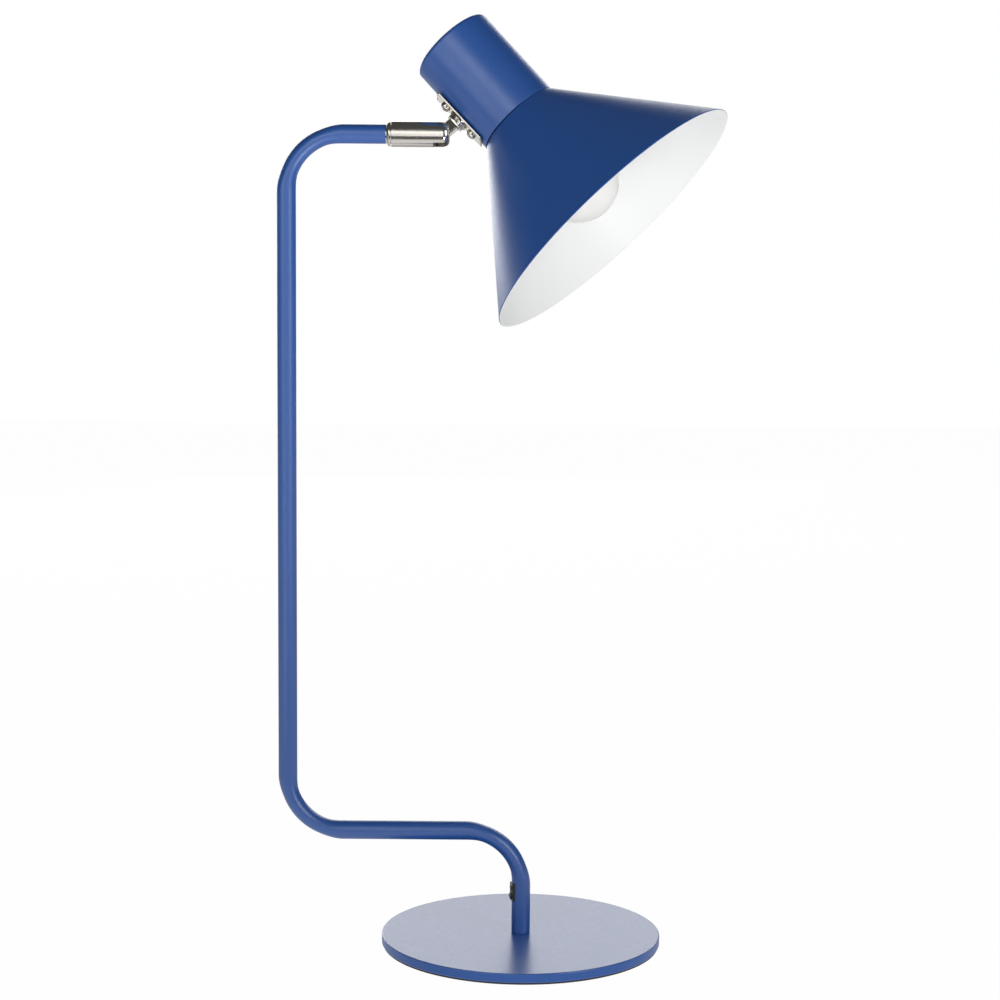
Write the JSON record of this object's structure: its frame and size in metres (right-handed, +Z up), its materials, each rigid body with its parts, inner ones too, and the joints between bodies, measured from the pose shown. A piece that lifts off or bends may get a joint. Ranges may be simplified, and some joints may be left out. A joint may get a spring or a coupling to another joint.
{
  "type": "adjustable desk lamp",
  "caption": "Desk lamp with a round flat base, a bent tube stand, a turning knuckle and a conical shade over a screw bulb.",
  "frame": {"origin": "middle of the base's underside, on the surface that the lamp stands on", "axes": "+Z up; the tube's bends lie in the XZ plane, with the lower arm running from the foot to -X and the upper arm and the head coming back to +X; -Y is the side of the camera in the picture"},
  "size_m": [0.2814, 0.2009, 0.5937],
  "materials": {
    "blue_steel": "satin blue powder coat",
    "bright_nickel": "polished nickel plate",
    "plain_steel": "zinc-plated steel",
    "spring_steel": "oiled spring steel",
    "brass": "plain brass",
    "shoe_nylon": "natural nylon",
    "black_plastic": "satin black plastic",
    "holder_plastic": "black heat-proof plastic",
    "pad_rubber": "black foam rubber",
    "lead_cover": "black insulated lead",
    "opal_glass": "opal white glass",
    "bulb_metal": "plain aluminium",
    "bulb_vitrite": "black glass insulator"
  },
  "bodies": {
    "stand": {"base_plate": "blue_steel", "base_pad": "pad_rubber", "foot_screw": "plain_steel", "foot_plug": "plain_steel", "stem_tube": "blue_steel", "cord_inlet": "black_plastic", "inlet_lead": "lead_cover", "stem_lead": "lead_cover", "switch_bezel": "black_plastic", "switch_body": "black_plastic", "arm_plug": "plain_steel", "arm_washer": "bright_nickel", "arm_bolt": "plain_steel"},
    "knuckle": {"thrust_washer": "plain_steel", "knuckle_end_cap": "bright_nickel", "knuckle_barrel": "bright_nickel", "hinge_pins": "bright_nickel", "friction_shoe": "shoe_nylon", "disc_springs": "spring_steel", "spring_plug": "plain_steel"},
    "head": {"swivel_stud": "bright_nickel", "stud_washer": "bright_nickel", "stud_nut": "plain_steel", "head_bracket": "bright_nickel", "bracket_screws": "bright_nickel", "head_cap": "blue_steel", "shade_cone": "blue_steel", "holder_bridge": "plain_steel", "holder_nipple": "plain_steel", "holder_nut": "plain_steel", "holder_body": "holder_plastic", "holder_ring": "holder_plastic", "screw_shell": "brass", "socket_contact": "brass", "head_lead": "lead_cover", "bulb_contact": "bulb_metal", "bulb_insulator": "bulb_vitrite", "bulb_screw_cap": "bulb_metal", "bulb_globe": "opal_glass"},
    "rocker": {"switch_rocker": "black_plastic"}
  },
  "joints": [
    {"name": "knuckle_roll", "type": "hinge", "parent": "stand", "child": "knuckle", "pos_m": [-0.0536, 0, 0.5205], "axis": [1, 0, 0], "range_deg": [-160, 160]},
    {"name": "head_tilt", "type": "hinge", "parent": "knuckle", "child": "head", "pos_m": [-0.0536, 0, 0.5205], "axis": [0, -0.9409, 0.3387], "range_deg": [-58, 46]},
    {"name": "switch_rock", "type": "hinge", "parent": "stand", "child": "rocker", "pos_m": [-0.00493, -0.00132, 0.0345], "axis": [0.2588, -0.9659, 0], "range_deg": [0, 12]}
  ]
}
